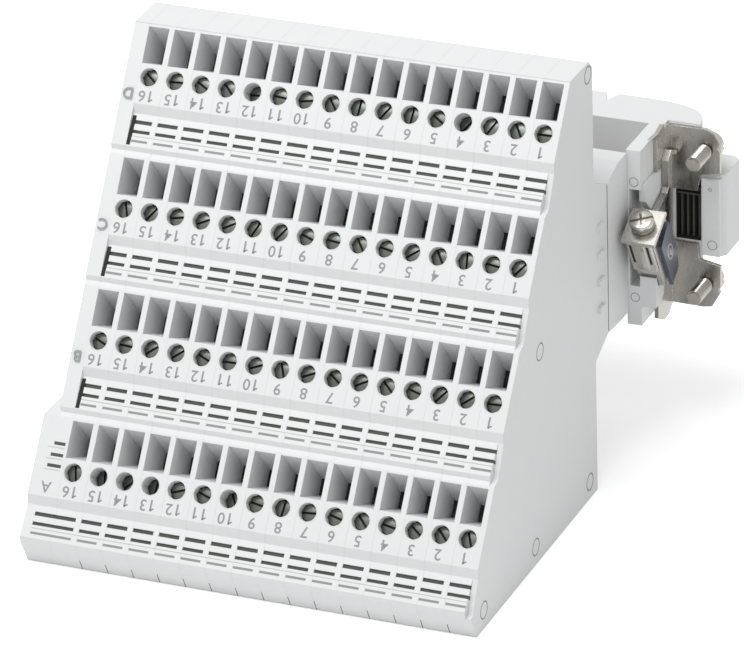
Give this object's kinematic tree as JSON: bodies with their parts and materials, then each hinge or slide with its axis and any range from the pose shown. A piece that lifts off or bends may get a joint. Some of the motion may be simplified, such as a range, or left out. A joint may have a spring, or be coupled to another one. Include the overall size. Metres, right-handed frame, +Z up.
{
  "type": "screw terminal block",
  "caption": "Stepped screw terminal block of moulded slices in four lettered rows, with a rear plug connector insert, metal end brackets, captive screws and an earth clamp.",
  "frame": {"origin": "middle of the flat base of the slice stack, on the surface it stands on", "axes": "+X along the terminal rows from position 16 to position 1, +Y from the stepped front to the connector at the back, +Z up"},
  "size_m": [0.1109, 0.1097, 0.086],
  "materials": {
    "clamp_steel": "dull plated",
    "contact": "silver plated copper alloy",
    "earth_plate": "dark plated",
    "housing": "fine moulded, light grey",
    "plated_steel": "nickel plated, satin",
    "zinc": "zinc plated"
  },
  "bodies": {
    "block": {"connector_insert": "housing", "contact_carrier": "housing", "contact_strips_row_a": "contact", "contact_strips_row_b": "contact", "contact_strips_row_c": "contact", "contact_strips_row_d": "contact", "end_bracket_left": "plated_steel", "end_bracket_right": "plated_steel", "end_plate_left": "housing", "pe_clamp_body": "plated_steel", "pe_side_plate": "earth_plate", "pe_strap": "plated_steel", "slice_01": "housing", "slice_02": "housing", "slice_03": "housing", "slice_04": "housing", "slice_05": "housing", "slice_06": "housing", "slice_07": "housing", "slice_08": "housing", "slice_09": "housing", "slice_10": "housing", "slice_11": "housing", "slice_12": "housing", "slice_13": "housing", "slice_14": "housing", "slice_15": "housing", "slice_16": "housing", "terminal_screws_row_a": "zinc", "terminal_screws_row_b": "zinc", "terminal_screws_row_c": "zinc", "terminal_screws_row_d": "zinc", "wire_clamps_row_a": "clamp_steel", "wire_clamps_row_b": "clamp_steel", "wire_clamps_row_c": "clamp_steel", "wire_clamps_row_d": "clamp_steel"},
    "captive_screw_lower_left": {"captive_screw_lower_left": "plated_steel"},
    "captive_screw_lower_right": {"captive_screw_lower_right": "plated_steel"},
    "captive_screw_upper_left": {"captive_screw_upper_left": "plated_steel"},
    "captive_screw_upper_right": {"captive_screw_upper_right": "plated_steel"},
    "pe_saddle": {"pe_saddle": "plated_steel"},
    "pe_screw": {"pe_screw": "plated_steel"}
  },
  "joints": [
    {"name": "captive_screw_upper_right_turn", "type": "hinge", "parent": "block", "child": "captive_screw_upper_right", "pos_m": [0.05055, 0.0578, 0.0562], "axis": [0, 1, 0], "continuous": true},
    {"name": "captive_screw_lower_right_turn", "type": "hinge", "parent": "block", "child": "captive_screw_lower_right", "pos_m": [0.05055, 0.0578, 0.0292], "axis": [0, 1, 0], "continuous": true},
    {"name": "captive_screw_upper_left_turn", "type": "hinge", "parent": "block", "child": "captive_screw_upper_left", "pos_m": [-0.05345, 0.0578, 0.0562], "axis": [0, 1, 0], "continuous": true},
    {"name": "captive_screw_lower_left_turn", "type": "hinge", "parent": "block", "child": "captive_screw_lower_left", "pos_m": [-0.05345, 0.0578, 0.0292], "axis": [0, 1, 0], "continuous": true},
    {"name": "pe_saddle_slide", "type": "slide", "parent": "block", "child": "pe_saddle", "axis": [0, -0.5, 0.866], "range_m": [0, 0.0015]},
    {"name": "pe_screw_turn", "type": "hinge", "parent": "pe_saddle", "child": "pe_screw", "pos_m": [0.04475, 0.04364, 0.0486], "axis": [0, -0.5, 0.866], "range_deg": [0, 1080]}
  ],
  "couplings": [
    {"joint": "pe_screw_turn", "follows": "pe_saddle_slide", "rad_per_m": 12566}
  ]
}
